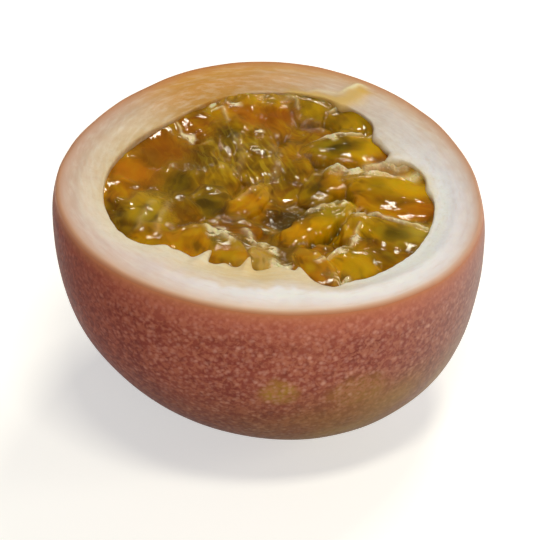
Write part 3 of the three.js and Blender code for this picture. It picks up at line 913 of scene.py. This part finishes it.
        # Painted shade in the creases between sacs, weaker where the gel is loose or calm.
        second, highest = np.sort(self.forms, axis=0)[-2:]
        crease = np.exp(-(highest - second) / 0.5)
        strength = 0.7 - 0.4 * np.maximum(self.loose, self.calm)
        self.paint(CREASE_SHADE, strength * crease * (0.6 + 0.6 * self.noise(2.0, 42)))
        self.paint(DEEP, 0.25 * self.busy)
        self.paint(PALE, 0.6 * self.busy * smooth_step(0.05, 0.4, self.flecks))
        self.paint(DEEP, 0.3 * self.busy * smooth_step(-0.1, -0.4, self.flecks))

    def paint_depths(self):
        """Painted shade in the hollows and at the wall on the left, dark in the pool, and painted light on
        the crests.
        """
        below = self.rounded(1.1) - self.height
        at_wall = smooth_step(19, 21.5, np.hypot(self.x, self.y))
        at_left = 0.8 * bump(np.arctan2(self.y, self.x), -158, 9) * at_wall
        # Painted shade in the hollows and along the wall on the left.
        self.paint(HOLLOW_SHADE, 0.85 * np.maximum(smooth_step(0.8, 2.0, below), at_left))
        self.paint(POOL_DARK, 0.85 * np.clip(1.3 * self.pool + 0.5 * self.pool * self.ripples, 0, 1))
        # Painted light on the crests.
        pale = smooth_step(0, 0.6, self.noise(1.8, 44))
        self.paint(CREST_LIGHT, 0.35 * pale * smooth_step(0.75, 0.35, below))

    def paint_milk_and_glints(self):
        """The milky, wrinkled skins where the gel is crumpled and along the ridges, their white partly a
        painted glint, with painted shade between the wrinkles.
        """
        across = self.near[1] + 0.7 * self.noise(2.2, 46)
        wrinkles = streaks(self.near[0] / 1.5, across / 0.42, 45)
        crumpled = smooth_step(0.2, 0.8, self.ruffled)
        self.height += 0.14 * crumpled * wrinkles
        # Painted shade between the wrinkles.
        self.paint(MILK_SHADE, 0.45 * crumpled * smooth_step(0.05, -0.25, wrinkles))
        # Their whitish colour is partly a painted glint.
        milky = crumpled * smooth_step(0, 0.2, wrinkles)
        self.milk_and_glint = np.clip(0.95 * milky + 0.75 * self.ridged, 0, 0.95)
        self.paint(MILK_AND_GLINT, self.milk_and_glint)
        rough = self.ruffled * (1 - self.calm) * (1 - 0.5 * self.busy)
        self.ruffle = np.clip(rough + 0.8 * self.ridged + 0.3 * self.pool, 0, 1)


def tucked_rings(columns, levels, shares=(1,)):
    """Rings of the pulp's points at these depths, at these shares of the way out to the wall."""
    azimuth, share = np.meshgrid(np.linspace(0, 2 * math.pi, columns, endpoint=False), shares)
    rings = []
    for level in levels:
        depth = 0 * azimuth + level
        radius = wall_radius(azimuth, depth) + TUCKED_IN
        rings.append(ring_points(azimuth, depth, share * radius).reshape(-1, 3))
    return np.concatenate(rings)


def sacs_piece(material):
    """The wet sacs' common skin, closed underneath."""
    rings, columns = 146, 620
    top = tucked_rings(columns, (2,), np.linspace(0, 1, rings + 1)[1:])
    top = np.concatenate([[[0.2, 0, 0]], top])
    skin = PulpSkin(top)
    top[:, 2] = np.minimum(skin.height, -0.3)
    last = [[POLE_DRIFT * SKIRT[-1], 0, -SKIRT[-1]]]
    points = np.concatenate([top, tucked_rings(columns, SKIRT), last])
    rest, fields = len(points) - len(top), {}
    for field, below in (("tint", linear(BROWN)), ("grain", (0, 0, 0)), ("ruffle", 0), ("milk_and_glint", 0)):
        fields[field] = np.concatenate([getattr(skin, field), np.stack([below] * rest)])
    faces = [face[::-1] for face in capped_faces(rings + len(SKIRT), columns)]
    return piece("sacs", points, faces, [material], fields)


def core_piece(material):
    """The body of the pulp under the sacs' skin: its top follows them, somewhat lower."""
    columns = 240
    top = tucked_rings(columns, (3,), np.linspace(0, 1, 61)[1:])
    top[:, 2] = PulpSkin(top).height - CORE_UNDER - 0.5 * wander(top * np.array([1, 1, 0]), 2.2, 11)
    turns = np.linspace(0.1, 1, 40)[1:-1] * math.pi / 2
    below = tucked_rings(columns, CORE_EDGE + (CAVITY_DEPTH - CORE_EDGE) * np.sin(turns))
    first, last = [[0.3, 0, -4.6]], [[POLE_DRIFT * CAVITY_DEPTH, 0, -CAVITY_DEPTH - 0.2]]
    points = np.concatenate([first, top, below, last])
    faces = [face[::-1] for face in capped_faces((len(points) - 2) // columns, columns)]
    return piece("pulp_core", points, faces, [material], None, ("pulp",))


def ball_points(rows, columns):
    """A ball of radius 1, from its lowest point up."""
    lift = np.linspace(-0.5, 0.5, rows + 2)[1:-1] * math.pi
    turned, lifted = np.meshgrid(np.linspace(0, 2 * math.pi, columns, endpoint=False), lift)
    ball = np.stack([np.cos(lifted) * np.cos(turned), np.cos(lifted) * np.sin(turned), np.sin(lifted)], -1)
    return np.concatenate([[[0, 0, -1]], ball.reshape(-1, 3), [[0, 0, 1]]])


def seed_points(ball, number, turn):
    """A seed's points round its middle, turned from +X by about this many degrees."""
    own = ball * np.array(SEED_SIZE) / 2
    own[:, 1] *= 1 - 0.18 * own[:, 0] / SEED_SIZE[0]
    own += 0.08 * wander(own, 1.4, number)[:, None] * ball
    tilt = 0.25 * math.sin(5.1 * number)
    c, s = math.cos(tilt), math.sin(tilt)
    own = own @ np.array([[c, 0, s], [0, 1, 0], [-s, 0, c]])
    angle = math.radians(turn + 14 * math.sin(3.7 * number))
    c, s = math.cos(angle), math.sin(angle)
    return own @ np.array([[c, s, 0], [-s, c, 0], [0, 0, 1]])


def seeds_piece(material):
    """Flat pitted seeds, each inside its sac and a little under the skin."""
    rows, columns = 18, 28
    ball = ball_points(rows, columns)
    points, faces = [], []
    for number, sac in enumerate(SACS):
        if sac.shows < SEED_SHOWS:
            continue
        reach = sac.seed_at * max(sac.long / 2 - SEED_SIZE[0] / 2, 0.4)
        turn = math.radians(sac.turn)
        place = np.array([[sac.x + reach * math.cos(turn), sac.y + reach * math.sin(turn), 0]])
        cover = SEED_SIZE[2] / 2 + SEED_COVER + SEED_SINK * (1 - sac.shows)
        place[0, 2] = PulpSkin(place).height[0] - cover
        start = len(points) * len(ball)
        faces += [[v + start for v in face] for face in capped_faces(rows, columns)]
        points.append(seed_points(ball, number, sac.turn) + place)
    return piece("seeds", np.concatenate(points), faces, [material])


# --- stage

CAMERA_ELEVATION = 35  # degrees
CAMERA_DISTANCE = 500  # mm from the middle of the cut
FRAME_WIDTH = 70  # mm that the picture spans at the half
FLOOR_HALF = 3.0  # metres


def area_light(name, towards, distance, size, power):
    """A lamp that shines at the origin from this azimuth, 0 at the front, and elevation."""
    light = bpy.data.lights.new(name, "AREA")
    light.shape = "RECTANGLE"
    light.size, light.size_y = size
    light.energy = power
    light.color = LAMP
    obj = bpy.data.objects.new(name, light)
    azimuth, lift = (math.radians(angle) for angle in towards)
    way = Vector((math.sin(azimuth) * math.cos(lift), -math.cos(azimuth) * math.cos(lift), math.sin(lift)))
    obj.location = way * distance
    obj.rotation_euler = way.to_track_quat("Z", "Y").to_euler()
    bpy.context.scene.collection.objects.link(obj)


def stage():
    scene = bpy.context.scene
    scene.view_settings.view_transform = "Standard"
    world = bpy.data.worlds.new("world")
    world.use_nodes = True
    background = world.node_tree.nodes["Background"]
    background.inputs["Color"].default_value = (1, 1, 1, 1)
    background.inputs["Strength"].default_value = 0.1
    scene.world = world

    floor_mesh = bpy.data.meshes.new("floor")
    corners = [(x * FLOOR_HALF, y * FLOOR_HALF, 0) for x, y in ((-1, -1), (1, -1), (1, 1), (-1, 1))]
    floor_mesh.from_pydata(corners, [], [(0, 1, 2, 3)])
    paper = Nodes("floor", Base_Color=(0.85, 0.85, 0.85, 1), Roughness=0.8)
    paper.set("Emission Color", (1, 1, 1, 1))
    paper.set("Emission Strength", 0.54)
    floor_mesh.materials.append(paper.material)
    floor = bpy.data.objects.new("floor", floor_mesh)
    scene.collection.objects.link(floor)

    area_light("key", (150, 58), 1.0, (0.28, 0.12), 3.4)
    area_light("top", (15, 72), 1.1, (0.32, 0.15), 4.0)
    area_light("front", (14, 28), 1.2, (0.4, 0.4), 1.5)
    area_light("right", (84, 20), 0.9, (0.15, 0.3), 1.3)

    camera_data = bpy.data.cameras.new("camera")
    camera_data.sensor_width = 36
    camera_data.lens = 36 * CAMERA_DISTANCE / FRAME_WIDTH
    camera = bpy.data.objects.new("camera", camera_data)
    elevation = math.radians(CAMERA_ELEVATION)
    cut_middle = Vector(to_world(np.zeros((1, 3)))[0])
    back = Vector((0, -math.cos(elevation), math.sin(elevation)))
    camera.location = cut_middle + back * CAMERA_DISTANCE * MM
    low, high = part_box("shell")
    middle = (Vector(low) + Vector(high)) / 2
    camera.rotation_euler = (camera.location - middle).to_track_quat("Z", "Y").to_euler()
    scene.collection.objects.link(camera)
    scene.camera = camera


# --- the half


def build():
    shell_piece(skin_material(), pith_material())
    core_piece(bed_material())
    seeds_piece(seed_material())
    sacs_piece(gel_material())


build()
stage()
